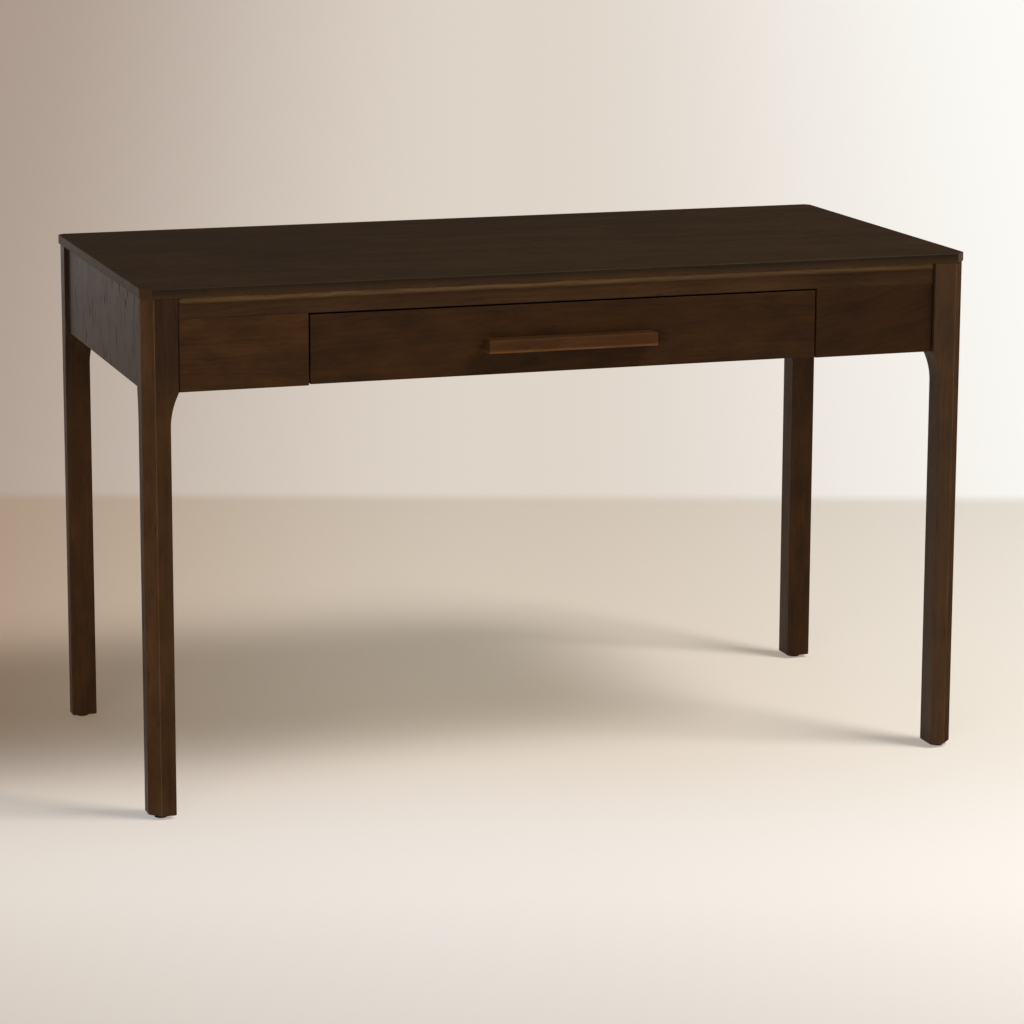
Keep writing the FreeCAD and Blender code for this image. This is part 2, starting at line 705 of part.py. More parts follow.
def rod(name, diameter, length, start=0, flats=12):
    """Stretch of a fastener along its own axis, its flats drawn within the given diameter.

    A dozen flats stand for a round one, because there are many of them.
    """
    stretch = doc.addObject("Part::Prism", name)
    stretch.Polygon = flats
    stretch.setExpression("Circumradius", bound(f"({diameter}) / 2"))
    stretch.setExpression("Height", bound(length))
    place(stretch, 0, 0, start)
    return stretch


def screw(name, diameter, length, direction, x, y, z):
    """Pan-head screw whose head bears on the given place and whose shank runs along the direction."""
    head = rod(f"{name}_head", "head_diameter", "head_height", "-head_height")
    shank = rod(f"{name}_shank", diameter, length)
    return fastener(name, [head, shank], direction, x, y, z)


def group(label, pieces):
    """Like pieces kept as separate solids under one name."""
    bundle = doc.addObject("Part::Compound", label)
    bundle.Label = label
    bundle.Links = pieces
    return bundle


def make_leg_bolts():
    """Hex lag bolts through the corner blocks into the legs, and their washers."""
    bolts, washers = [], []
    seat = "block_far / 2"
    for side in (LEFT, RIGHT):
        for end, face in ((FRONT, "inside_front"), (BACK, "inside_back")):
            number = len(bolts)
            direction = (side, end, 0)
            spot = (f"{side} * (inside_side - {seat})", f"{face} - {end} * {seat}",
                    "block_bottom + block_height / 2")
            head = rod(f"bolt_head_{number}", "bolt_head_width * 2 / sqrt(3)", "bolt_head_height",
                       "-bolt_head_height - washer_thickness", flats=6)
            reach = "(block_far / 2 + apron_inner - bolt_entry) * sqrt(2) + bolt_depth"
            shank = rod(f"bolt_shank_{number}", "bolt_diameter", f"{reach} + washer_thickness",
                        "-washer_thickness")
            bolts.append(fastener(f"leg_bolt_{number}", [head, shank], direction, *spot))
            disc = rod(f"washer_disc_{number}", "washer_diameter", "washer_thickness")
            bore = rod(f"washer_bore_{number}", "bolt_diameter + 2 * shank_clearance", "washer_thickness")
            washer = doc.addObject("Part::Cut", f"leg_washer_{number}")
            washer.Base, washer.Tool = disc, bore
            washer.Placement = FreeCAD.Placement(FreeCAD.Vector(), FreeCAD.Rotation(
                FreeCAD.Vector(0, 0, 1), FreeCAD.Vector(-side, -end, 0)))
            place(washer, *spot)
            washers.append(washer)
    return [group("leg_bolts", bolts), group("leg_bolt_washers", washers)]


def make_screws():
    """All pan-head screws, grouped by what they hold."""
    up, forward = (0, 0, 1), (0, -1, 0)
    low = "frame_top - cleat_size"
    made = [group("top_screws", [
        screw(f"top_screw_{i}", "top_screw_diameter", "cleat_size + top_screw_bite", up, x, y, low)
        for i, (x, y) in enumerate(top_screw_spots())])]
    inner_face = "box_front + board_thickness"
    made.append(group("drawer_front_screws", [
        screw(f"front_screw_{i}", "front_screw_diameter", "front_screw_length", forward, x, inner_face, z)
        for i, (x, z) in enumerate(front_screw_spots())]))
    made.append(group("pull_screws", [
        screw(f"pull_screw_{i}", "pull_screw_diameter", "board_thickness + front_thickness + pull_screw_bite",
              forward, x, inner_face, z) for i, (x, z) in enumerate(pull_screw_spots())]))
    fixed, moving = [], []
    length = "slide_gauge + slide_screw_bite"
    for side in (LEFT, RIGHT):
        for y, z in slide_screw_spots():
            number = len(fixed)
            fixed.append(screw(f"slide_fixed_screw_{number}", "slide_screw_diameter", length,
                               (side, 0, 0), f"{side} * (bay_side - slide_gauge)", y, z))
            moving.append(screw(f"slide_drawer_screw_{number}", "slide_screw_diameter", length,
                                (-side, 0, 0), f"{side} * (box_side + slide_gauge)", y, z))
    made.append(group("slide_fixed_screws", fixed))
    made.append(group("slide_drawer_screws", moving))
    return made


def make_desk():
    """Every piece of the desk."""
    pieces = [make_tabletop(), make_front_rail(), make_back_apron(), make_glue_blocks()]
    for end_word, end in ENDS.items():
        for side_word, side in SIDES.items():
            corner = f"{end_word}_{side_word}"
            pieces.append(make_leg(f"leg_{corner}", side, end))
            pieces.append(make_glide(f"glide_{corner}", side, end))
            pieces.append(make_corner_block(f"corner_block_{corner}", side, end))
    for word, side in SIDES.items():
        pieces.append(make_front_panel(f"front_panel_{word}", side))
        pieces.append(make_side_apron(f"side_apron_{word}", side))
        pieces.append(make_drawer_bay(f"drawer_bay_{word}", side))
        pieces += make_slide(word, side)
    pieces += make_cleats() + make_drawer_box() + [make_drawer_front(), make_pull()]
    pieces += make_leg_bolts() + make_screws()
    return pieces


def check_and_write(pieces):
    """Stop on any failed object or bad shape, then write one file per piece."""
    doc.recompute()
    failed = [item.Label for item in doc.Objects if {"Invalid", "Error"} & set(item.State)]
    bad = [item.Label for item in pieces if item.Shape.isNull() or not item.Shape.isValid()]
    if failed or bad:
        raise RuntimeError(f"failed objects {failed}, bad shapes {bad}")
    os.makedirs("parts", exist_ok=True)
    for item in pieces:
        item.Shape.exportStep(f"parts/{item.Label}.step")
        print(item.Label, len(item.Shape.Solids), round(item.Shape.Volume / 1000, 1), "cm3")


fill_sheet()
check_and_write(make_desk())
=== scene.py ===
"""Dark stained writing desk with one inset drawer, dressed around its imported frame.

Lengths are metres in the desk's own frame: +X to the sitter's right, -Y at the sitter, +Z up.
"""
import logging
import math
from dataclasses import dataclass, replace
from enum import Enum
from functools import cache
from typing import Any, Iterable, Sequence

import bmesh
import bpy
from mathutils import Matrix, Vector


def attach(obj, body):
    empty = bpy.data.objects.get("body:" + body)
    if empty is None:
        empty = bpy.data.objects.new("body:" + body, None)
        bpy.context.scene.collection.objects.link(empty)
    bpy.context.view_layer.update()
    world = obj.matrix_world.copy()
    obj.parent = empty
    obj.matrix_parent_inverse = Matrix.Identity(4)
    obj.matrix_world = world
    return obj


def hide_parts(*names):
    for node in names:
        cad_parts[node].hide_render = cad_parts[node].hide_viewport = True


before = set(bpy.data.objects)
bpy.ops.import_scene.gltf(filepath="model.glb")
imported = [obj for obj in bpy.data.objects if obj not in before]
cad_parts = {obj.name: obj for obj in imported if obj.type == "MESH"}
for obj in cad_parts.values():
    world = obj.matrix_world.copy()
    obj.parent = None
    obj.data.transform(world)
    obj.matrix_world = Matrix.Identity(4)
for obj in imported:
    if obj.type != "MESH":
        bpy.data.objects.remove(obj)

MM = 0.001
LOG = logging.getLogger("writing_desk")
Point = tuple[float, float]
Span = tuple[float, float]
Place = tuple[float, float, float]
Socket = bpy.types.NodeSocket

# Edges that turn by more than this stay sharp.
SHARP_ANGLE = math.radians(50)
# Each board is cut at its own place in the log. The steps spread the cuts evenly; the ranges give the least
# distance and the spread along, across and through the log.
CUT_STEPS = (0.6180, 0.7549, 0.5698)
CUT_RANGES = ((0.0, 7.0), (0.02, 0.07), (0.05, 0.06))
# The mix node's sockets share names, so they go by number: its share, two numbers, two tints, the mixed tint.
SHARE, FIRST, SECOND, FIRST_TINT, SECOND_TINT, MIXED_TINT = 0, 2, 3, 6, 7, 2
# At a scale of 1 the wave node draws this many rings on a length of tau.
RINGS_PER_TAU = 20


def linear(code: str) -> tuple[float, float, float, float]:
    """Turn an sRGB hex colour into linear light.

    Args:
        code: Six hex digits, with or without a leading hash.

    Returns:
        Linear red, green, blue and a full alpha.
    """
    parts = [int(code.lstrip("#")[i:i + 2], 16) / 255 for i in (0, 2, 4)]
    made = [p / 12.92 if p <= 0.04045 else ((p + 0.055) / 1.055) ** 2.4 for p in parts]
    return (made[0], made[1], made[2], 1.0)


def add_node(tree: bpy.types.NodeTree, kind: str, inputs: dict[Any, Any] | None = None,
             **settings: Any) -> bpy.types.Node:
    """Add one shader node, set it up and link it.

    Args:
        tree: The node tree that gets the node.
        kind: Blender's name for the node type, without its ShaderNode prefix.
        inputs: Input name or index, with a value to set or a socket to link from.
        **settings: Properties of the node itself.

    Returns:
        The new node.
    """
    node = tree.nodes.new("ShaderNode" + kind)
    for name, value in settings.items():
        setattr(node, name, value)
    for name, value in (inputs or {}).items():
        if isinstance(value, Socket):
            tree.links.new(value, node.inputs[name])
        else:
            node.inputs[name].default_value = value
    return node


def new_material(name: str) -> tuple[bpy.types.Material, bpy.types.NodeTree]:
    """Make an empty node material.

    Args:
        name: The material's name.

    Returns:
        The material and its cleared node tree.
    """
    material = bpy.data.materials.new(name)
    material.use_nodes = True
    material.node_tree.nodes.clear()
    return material, material.node_tree


class Grain(Enum):
    """Which way a board's fibres run; the value lists the axes along, across and through it."""

    ALONG_X = ("X", "Z", "Y")
    ALONG_Y = ("Y", "X", "Z")
    ALONG_Z = ("Z", "X", "Y")
    FLAT_X = ("X", "Y", "Z")


@dataclass(frozen=True)
class WoodFinish:
    """Wood under stain or lacquer: broad streaks, growth rings, fibres, pores and cloudy stain.

    Widths lie across the grain, and a stretch says how many times longer than wide a pattern is. A slant
    turns the figure, in degrees. Edge tones make the long edges lighter or darker from one height to another,
    and the end sheen tone makes the ends lighter, a painted sheen. A band is the span of heights in which the
    colour turns to a second tint: a darker stain on one leg's block, a painted highlight on the rail and the
    pull, and painted shade on the back legs.
    """

    name: str
    slot: str
    light: str
    dark: str
    pore: str
    tone_span: Span = (0.35, 0.65)
    ring_mm: float = 9.0
    ring_tones: Span = (0.32, 0.68)
    ring_share: float = 0.20
    streak_mm: float = 14.0
    streak_stretch: float = 40.0
    fibre_mm: float = 3.0
    fibre_stretch: float = 70.0
    line_share: float = 0.32
    pore_mm: float = 1.6
    pore_stretch: float = 20.0
    pore_span: Span = (0.60, 0.74)
    pore_depth: float = 0.5
    cloud_mm: float = 34.0
    cloud_stretch: float = 2.2
    cloud_share: float = 0.5
    wander_mm: float = 110.0
    wander_stretch: float = 5.0
    wander_reach_mm: float = 60.0
    slant: float = 0.0
    roughness: float = 0.5
    roughness_swing: Span = (0.10, -0.08)
    pore_roughness: float = 0.4
    ior: float = 1.5
    specular: float = 0.08
    bump_mm: float = 0.10
    bump_strength: float = 0.6
    edge_heights: Span = (0.0, 1.0)
    edge_tones: Span | None = None
    edge_turn: Span = (0.75, 0.95)
    end_sheen_tone: float = 1.0
    end_turn: Span = (0.3, 0.6)
    band: Span | None = None
    band_tint: str = ""
    band_fibres: Span = (0.3, 0.6)
    band_least: float = 0.45

    @cache
    def material(self, grain: Grain) -> bpy.types.Material:
        """Build the finish for one grain direction, once.

        Args:
            grain: Which way the fibres run.

        Returns:
            The material.
        """
        material, tree = new_material(f"{self.name}_{grain.name.lower()}")
        place = add_node(tree, "TexCoord").outputs["Object"]
        tone, fibres, pores = self._patterns(tree, self._board_point(tree, place, grain))

        ramp = add_node(tree, "ValToRGB", {0: tone})
        for stop, position, tint in zip(ramp.color_ramp.elements, self.tone_span, (self.dark, self.light)):
            stop.position = position
            stop.color = linear(tint)
        pored = add_node(tree, "Mix", {SHARE: pores, FIRST_TINT: ramp.outputs[0],
                                       SECOND_TINT: linear(self.pore)}, data_type="RGBA")
        colour = pored.outputs[MIXED_TINT]
        if self.band:
            colour = self._band(tree, place, fibres, colour)
        # Each board takes the stain a little lighter or darker.
        board = add_node(tree, "Attribute", attribute_type="OBJECT", attribute_name="board_tone")
        taken = board.outputs["Fac"]
        # The top's long edges are toned darker towards its face, and its ends lighter as a painted sheen.
        if self.edge_tones:
            taken = self._edge(tree, place, taken)
        stained = add_node(tree, "HueSaturation", {"Value": taken, "Color": colour})

        # Open pores and raised fibres break the gloss up along the grain.
        satin = add_node(tree, "MapRange", {"Value": fibres,
                                            "To Min": self.roughness + self.roughness_swing[0],
                                            "To Max": self.roughness + self.roughness_swing[1]})
        rough = add_node(tree, "Math", {0: pores, 1: self.pore_roughness, 2: satin.outputs[0]},
                         operation="MULTIPLY_ADD")
        height = add_node(tree, "Math", {0: fibres, 1: pores}, operation="SUBTRACT")
        bump = add_node(tree, "Bump", {"Height": height.outputs[0], "Distance": self.bump_mm * MM,
                                       "Strength": self.bump_strength})
        shader = add_node(tree, "BsdfPrincipled", {
            "Base Color": stained.outputs[0], "Roughness": rough.outputs[0], "Normal": bump.outputs[0],
            "IOR": self.ior, "Specular IOR Level": self.specular})
        add_node(tree, "OutputMaterial", {"Surface": shader.outputs[0]})
        return material

    def _board_point(self, tree: bpy.types.NodeTree, place: Socket, grain: Grain) -> Socket:
        """Give a point in board terms: along, across and through, shifted for each board.

        Args:
            tree: The material's node tree.
            place: The point in the desk's frame.
            grain: Which way the fibres run.

        Returns:
            The vector in metres.
        """
        split = add_node(tree, "SeparateXYZ", {0: place})
        laid = add_node(tree, "CombineXYZ", {i: split.outputs[axis] for i, axis in enumerate(grain.value)})
        point = laid.outputs[0]
        if self.slant:
            point = add_node(tree, "VectorRotate", {"Vector": point, "Axis": (0.0, 0.0, 1.0),
                                                    "Angle": -math.radians(self.slant)}).outputs[0]
        shift = add_node(tree, "Attribute", attribute_type="OBJECT", attribute_name="board_shift")
        moved = add_node(tree, "VectorMath", {0: point, 1: shift.outputs["Vector"]}, operation="ADD")
        return moved.outputs[0]

    def _spots(self, tree: bpy.types.NodeTree, at: Socket, width_mm: float, stretch: float, detail: float,
               output: str = "Fac") -> Socket:
        """Draw soft spots that are stretched along the grain.

        Args:
            tree: The material's node tree.
            at: The point in board terms.
            width_mm: Size of a spot across the grain.
            stretch: How many times longer than wide a spot is.
            detail: Finer levels that are added.
            output: Which output is taken.

        Returns:
            The spots.
        """
        per = 1 / (width_mm * MM)
        drawn = add_node(tree, "VectorMath", {0: at, 1: (per / stretch, per, per)}, operation="MULTIPLY")
        noise = add_node(tree, "TexNoise", {"Vector": drawn.outputs[0], "Scale": 1.0, "Detail": detail,
                                            "Roughness": 0.6})
        return noise.outputs[output]

    def _patterns(self, tree: bpy.types.NodeTree, at: Socket) -> tuple[Socket, Socket, Socket]:
        """Draw the wood's patterns.

        Args:
            tree: The material's node tree.
            at: The point in board terms.

        Returns:
            The tone from dark to light, the fibres and the pores, each from 0 to 1.
        """
        # A slow drift of the log's axis bends the rings into long pointed arches.
        wander = self._spots(tree, at, self.wander_mm, self.wander_stretch, detail=3.0, output="Color")
        reach = self.wander_reach_mm * MM
        push = add_node(tree, "VectorMath", {0: wander, 1: (0.0, reach, reach), 2: at},
                        operation="MULTIPLY_ADD")
        log = push.outputs[0]
        rings = add_node(tree, "TexWave", {
            "Vector": log, "Scale": math.tau / (RINGS_PER_TAU * self.ring_mm * MM), "Distortion": 2.5,
            "Detail": 3.0, "Detail Scale": 1.2, "Detail Roughness": 0.6},
            wave_type="RINGS", rings_direction="X", wave_profile="SIN")
        softer = add_node(tree, "MapRange", {"Value": rings.outputs["Fac"], "To Min": self.ring_tones[0],
                                             "To Max": self.ring_tones[1]})
        streaks = self._spots(tree, log, self.streak_mm, self.streak_stretch, detail=4.0)
        fibres = self._spots(tree, log, self.fibre_mm, self.fibre_stretch, detail=4.0)
        cloud = self._spots(tree, at, self.cloud_mm, self.cloud_stretch, detail=3.0)
        # Real pores are 0.2 mm wide; they are drawn wider so that they show at the picture's scale.
        flecks = self._spots(tree, log, self.pore_mm, self.pore_stretch, detail=1.0)
        pores = add_node(tree, "MapRange", {"Value": flecks, "From Min": self.pore_span[0],
                                            "From Max": self.pore_span[1], "To Max": self.pore_depth})
        lines = add_node(tree, "Mix", {SHARE: self.line_share, FIRST: streaks, SECOND: fibres})
        grown = add_node(tree, "Mix", {SHARE: self.ring_share, FIRST: lines.outputs[0],
                                       SECOND: softer.outputs[0]})
        tone = add_node(tree, "Mix", {SHARE: self.cloud_share, FIRST: grown.outputs[0], SECOND: cloud})
        return tone.outputs[0], fibres, pores.outputs[0]

    def _edge(self, tree: bpy.types.NodeTree, place: Socket, value: Socket) -> Socket:
        """Tone a board's long edges and its ends otherwise than its face, with a painted sheen on the ends.

        Args:
            tree: The material's node tree.
            place: The point in the desk's frame.
            value: How light the board takes the stain.

        Returns:
            The same, changed on the edges and ends.
        """
        lean = add_node(tree, "SeparateXYZ", {0: add_node(tree, "NewGeometry").outputs["Normal"]})
        split = add_node(tree, "SeparateXYZ", {0: place})
        edge = add_node(tree, "MapRange", {
            "Value": split.outputs["Z"], "From Min": self.edge_heights[0], "From Max": self.edge_heights[1],
            "To Min": self.edge_tones[0], "To Max": self.edge_tones[1]})
        for axis, turn, tone in (("Y", self.edge_turn, edge.outputs[0]), ("X", self.end_turn, self.end_sheen_tone)):
            facing = add_node(tree, "Math", {0: lean.outputs[axis]}, operation="ABSOLUTE")
            share = add_node(tree, "MapRange", {"Value": facing.outputs[0], "From Min": turn[0],
                                                "From Max": turn[1], "To Min": 1.0, "To Max": tone})
            value = add_node(tree, "Math", {0: value, 1: share.outputs[0]}, operation="MULTIPLY").outputs[0]
        return value

    def _band(self, tree: bpy.types.NodeTree, place: Socket, fibres: Socket, colour: Socket) -> Socket:
        """Turn the colour to a second tint between two heights: a darker stain, painted highlights and
        painted shade, as each finish sets it.

        Args:
            tree: The material's node tree.
            place: The point in the desk's frame.
            fibres: The fibres, which keep some of the first tint.
            colour: The stained colour.

        Returns:
            The colour with its second tint.
        """
        split = add_node(tree, "SeparateXYZ", {0: place})
        rise = add_node(tree, "MapRange", {"Value": split.outputs["Z"], "From Min": self.band[0],
                                           "From Max": self.band[1]}, interpolation_type="SMOOTHSTEP")
        broken = add_node(tree, "MapRange", {
            "Value": fibres, "From Min": self.band_fibres[0], "From Max": self.band_fibres[1],
            "To Min": self.band_least, "To Max": 1.0})
        share = add_node(tree, "Math", {0: rise.outputs[0], 1: broken.outputs[0]}, operation="MULTIPLY")
        mixed = add_node(tree, "Mix", {SHARE: share.outputs[0], FIRST_TINT: colour,
                                       SECOND_TINT: linear(self.band_tint)}, data_type="RGBA")
        return mixed.outputs[MIXED_TINT]


@dataclass(frozen=True)
class SteelFinish:
    """Steel under bright zinc plate: cold grey, fine rolling lines and the faint patches of the zinc."""

    name: str
    slot: str
    tint: str
    roughness: float = 0.32
    roughness_swing: Span = (-0.08, 0.12)
    line_mm: float = 0.8
    line_stretch: float = 60.0
    spangle_mm: float = 6.25
    spangle_tones: Span = (0.86, 1.0)

    @cache
    def material(self) -> bpy.types.Material:
        """Build the finish, once.

        Returns:
            The material.
        """
        material, tree = new_material(self.name)
        place = add_node(tree, "TexCoord").outputs["Object"]
        # Rolling lines are some hundredths of a millimetre apart, drawn coarser so that they show.
        per = 1 / (self.line_mm * MM)
        drawn = add_node(tree, "VectorMath", {0: place, 1: (per, per / self.line_stretch, per)},
                         operation="MULTIPLY")
        lines = add_node(tree, "TexNoise", {"Vector": drawn.outputs[0], "Scale": 1.0, "Detail": 2.0})
        rough = add_node(tree, "MapRange", {"Value": lines.outputs[0],
                                            "To Min": self.roughness + self.roughness_swing[0],
                                            "To Max": self.roughness + self.roughness_swing[1]})
        spangle = add_node(tree, "TexVoronoi", {"Vector": place, "Scale": 1 / (self.spangle_mm * MM)})
        tone = add_node(tree, "MapRange", {"Value": spangle.outputs[0], "To Min": self.spangle_tones[0],
                                           "To Max": self.spangle_tones[1]})
        colour = add_node(tree, "Mix", {
            SHARE: 1.0, FIRST_TINT: linear(self.tint), SECOND_TINT: tone.outputs[0]},
            data_type="RGBA", blend_type="MULTIPLY")
        shader = add_node(tree, "BsdfPrincipled", {
            "Base Color": colour.outputs[MIXED_TINT], "Roughness": rough.outputs[0], "Metallic": 1.0})
        add_node(tree, "OutputMaterial", {"Surface": shader.outputs[0]})
        return material


@dataclass(frozen=True)
class NylonFinish:
    """Injection-moulded nylon: black, dull, with a faint moulded grain."""

    name: str
    slot: str
    tint: str
    grain_mm: float = 1.2
    grain_depth_mm: float = 0.05
    grain_tones: Span = (0.7, 1.0)
    roughness_span: Span = (0.45, 0.65)
    ior: float = 1.53
    specular: float = 0.15

    @cache
    def material(self) -> bpy.types.Material:
        """Build the finish, once.

        Returns:
            The material.
        """
        material, tree = new_material(self.name)
        place = add_node(tree, "TexCoord").outputs["Object"]
        grain = add_node(tree, "TexNoise", {"Vector": place, "Scale": 1 / (self.grain_mm * MM)}).outputs[0]
        rough = add_node(tree, "MapRange", {"Value": grain, "To Min": self.roughness_span[0],
                                            "To Max": self.roughness_span[1]})
        tone = add_node(tree, "MapRange", {"Value": grain, "To Min": self.grain_tones[0],
                                           "To Max": self.grain_tones[1]})
        colour = add_node(tree, "Mix", {
            SHARE: 1.0, FIRST_TINT: linear(self.tint), SECOND_TINT: tone.outputs[0]},
            data_type="RGBA", blend_type="MULTIPLY")
        bump = add_node(tree, "Bump", {"Height": grain, "Distance": self.grain_depth_mm * MM})
        shader = add_node(tree, "BsdfPrincipled", {
            "Base Color": colour.outputs[MIXED_TINT], "Roughness": rough.outputs[0],
            "Normal": bump.outputs[0], "IOR": self.ior, "Specular IOR Level": self.specular})
        add_node(tree, "OutputMaterial", {"Surface": shader.outputs[0]})
        return material


# Walnut, brown stain wiped on and sprayed with dead-flat lacquer: dark, warm, hardly any gloss face on.
# The top has wide clouds; its long edges darken towards the face, and its cut corners and ends are lighter
# with a painted sheen.
TOP_WALNUT = WoodFinish(
    "walnut_stained_flat_lacquer_top", "stained_walnut", "#412b15", "#2a1e0f", "#1e150b",
    cloud_mm=60.0, cloud_share=0.35, specular=0.12,
    edge_heights=(0.7475, 0.757), edge_tones=(1.0, 0.43), end_sheen_tone=1.5)
# The boards of the front, under the same coat: redder, with smaller clouds.
FRONT_WALNUT = WoodFinish(
    "walnut_stained_flat_lacquer_front", "stained_walnut", "#442b14", "#2c1b0d", "#1e1208")
# The right panel is cut across the log's run: wide figure that climbs to the right.
SLANT_WALNUT = replace(
    FRONT_WALNUT, name="walnut_stained_flat_lacquer_slant", slant=15.0, cloud_mm=50.0, pore_depth=0.3)
# The rail, with a painted highlight on its rounded upper edge: a pale honey line under the top.
RAIL_WALNUT = WoodFinish(
    "walnut_rail_painted_highlight", "stained_walnut", "#47301b", "#2c1d10", "#1e140a",
    cloud_mm=60.0, cloud_share=0.45, band=(0.7360, 0.7425), band_tint="#886b4b")
# The legs, of straight-grown wood: narrower streaks, a shade lighter and a little more gloss.
LEG_WALNUT = WoodFinish(
    "walnut_stained_flat_lacquer_leg", "stained_walnut", "#4a3119", "#322112", "#1f140a",
    streak_mm=9.0, specular=0.18)
# The front left leg's block took the stain darker than the slim leg below it.
BLOCK_WALNUT = replace(
    LEG_WALNUT, name="walnut_stained_flat_lacquer_dark_block", band=(0.56, 0.67), band_tint="#2a1b10",
    specular=0.08)
# The back legs' faces towards the sitter, under the desk, with painted shade: dark, red and dull, darkest at
# the block under the apron.
SHADED_BACK_LEG_WALNUT = replace(
    LEG_WALNUT, name="walnut_stained_twice_leg", light="#432c19", dark="#2c1e12", band=(0.33, 0.66),
    band_tint="#1d120a", specular=0.05)
# The legs' facets, dull and without gloss, in a tint lighter than the leg's: painted light, as on a facet
# turned to the lamp at the front left.
LIT_FACET_WALNUT = replace(
    LEG_WALNUT, name="walnut_facet_painted_light", light="#573e2b", dark="#422f1f", specular=0.0)
# A painted highlight on an eased edge: the leg's stain, lighter, in a broken line.
LEG_EDGE_HIGHLIGHT_WALNUT = WoodFinish(
    "walnut_stained_rubbed_leg_edge", "stained_walnut", "#664a2e", "#4c351e", "#28190c", streak_mm=9.0)
# The sides, under a heavier coat: it mirrors the pale room at a low angle, broken up by short dark pores.
SIDE_WALNUT = WoodFinish(
    "walnut_stained_flat_lacquer_side", "stained_walnut", "#3a2718", "#261a10", "#180f07",
    streak_mm=24.0, line_share=0.2, ring_share=0.1, cloud_mm=30.0, cloud_share=0.65,
    pore_mm=5.0, pore_stretch=9.0, pore_depth=0.85, specular=0.46)
# The pull, with a painted highlight along its lower edge: a pale rim.
PULL_WALNUT = WoodFinish(
    "walnut_stained_flat_lacquer_pull", "pull_walnut", "#4c3017", "#382310", "#23140a",
    band=(0.6535, 0.6492), band_tint="#6b4829")
# Beech, planed and clear lacquered: pale, even, with short fine flecks.
DRAWER_BEECH = WoodFinish(
    "beech_planed_lacquered", "drawer_beech", "#d9bd94", "#c2a176", "#a88661",
    ring_share=0.25, cloud_mm=55.0, cloud_share=0.2, pore_depth=0.3, specular=0.4, roughness=0.45)
# Birch plywood, sanded and clear lacquered: pale with wide soft figure.
DRAWER_PLYWOOD = WoodFinish(
    "birch_plywood_sanded", "drawer_plywood", "#dcc49d", "#c8ab80", "#b09066",
    ring_mm=22.0, ring_share=0.4, cloud_share=0.25, pore_depth=0.15, specular=0.35, roughness=0.55)
# Poplar, planed and left bare: dull, greenish cream.
FRAME_POPLAR = WoodFinish(
    "poplar_planed", "frame_poplar", "#c9ae82", "#ac8f64", "#8f7450",
    ring_mm=12.0, ring_share=0.3, cloud_share=0.3, pore_depth=0.2, roughness=0.7, specular=0.25)
# Steel strip, rolled to shape and zinc plated: bright and cold, with fine lines along the slides.
SLIDE_STEEL = SteelFinish("steel_rolled_zinc_plated", "slide_steel", "#c9ccce")
# Steel wire, cold headed and zinc plated: the same grey, a little duller.
SCREW_STEEL = SteelFinish("steel_headed_zinc_plated", "zinc_steel", "#c4c6c6", roughness=0.38)
# Nylon, moulded: black and dull, hardly lighter where the light falls on it.
GLIDE_NYLON = NylonFinish("nylon_moulded_black", "black_nylon", "#0b0a0a")


class Body(Enum):
    """The moving bodies that new pieces ride on; the value is the frame's name for it."""

    DESK = "desk_frame"
    DRAWER = "drawer"


def cut_board(piece: bpy.types.Object, name: str, tone: float) -> None:
    """Cut a board from its own place in the log, the same on each run.

    Args:
        piece: The board.
        name: The name that picks the place.
        tone: How light the board takes the stain.
    """
    seed = sum((i + 1) * ord(letter) for i, letter in enumerate(name))
    turns = [math.modf(seed * step)[0] for step in CUT_STEPS]
    piece["board_shift"] = [least + spread * turn for (least, spread), turn in zip(CUT_RANGES, turns)]
    piece["board_tone"] = tone


def new_piece(name: str, shape: bmesh.types.BMesh, materials: Sequence[bpy.types.Material], body: Body,
              stands_for: str, tone: float = 1.0) -> bpy.types.Object:
    """Turn a built mesh into a piece of the desk.

    Args:
        name: The piece's name.
        shape: The built mesh, in the desk's frame; it is freed.
        materials: Its finishes, in the order of its faces' material numbers.
        body: The moving body that it rides on.
        stands_for: The frame's node that it replaces.
        tone: How light its board takes the stain.

    Returns:
        The new object.
    """
    bmesh.ops.recalc_face_normals(shape, faces=shape.faces[:])
    mesh = bpy.data.meshes.new(name)
    shape.to_mesh(mesh)
    shape.free()
    for material in materials:
        mesh.materials.append(material)
    mesh.polygons.foreach_set("use_smooth", [True] * len(mesh.polygons))
    mesh.set_sharp_from_angle(angle=SHARP_ANGLE)
    piece = bpy.data.objects.new(name, mesh)
    bpy.context.scene.collection.objects.link(piece)
    evened = piece.modifiers.new("even_normals", "WEIGHTED_NORMAL")
    evened.keep_sharp = True
    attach(piece, body.value)
    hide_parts(stands_for)
    cut_board(piece, name, tone)
    LOG.info("built %s for %s", name, stands_for)
    return piece


def dress(nodes: Iterable[str], material: bpy.types.Material, tone: float = 1.0) -> None:
    """Give nodes of the frame a finish, and each its own cut from the log.

    Args:
        nodes: Names of the frame's nodes.
        material: The finish.
        tone: How light these boards take the stain.
    """
    for name in nodes:
        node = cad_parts[name]
        node.data.materials.clear()
        node.data.materials.append(material)
        cut_board(node, name, tone)
        LOG.info("dressed %s in %s", name, material.name)


def add_points(shape: bmesh.types.BMesh, rings: Sequence[Sequence[Vector]]) -> list[list[bmesh.types.BMVert]]:
    """Add rings of points to a mesh and give them as rows."""
    return [[shape.verts.new(point) for point in ring] for ring in rings]


def skin(shape: bmesh.types.BMesh, rows: Sequence[Sequence[bmesh.types.BMVert]]) -> list[bmesh.types.BMFace]:
    """Skin rows of points, each closed on itself.

    Args:
        shape: The mesh that gets the faces.
        rows: Rows of equal count, each joined to the next.

    Returns:
        The new faces, row by row.
    """
    made = []
    for low, high in zip(rows, rows[1:]):
        for i in range(len(low)):
            j = (i + 1) % len(low)
            made.append(shape.faces.new((low[i], low[j], high[j], high[i])))
    return made


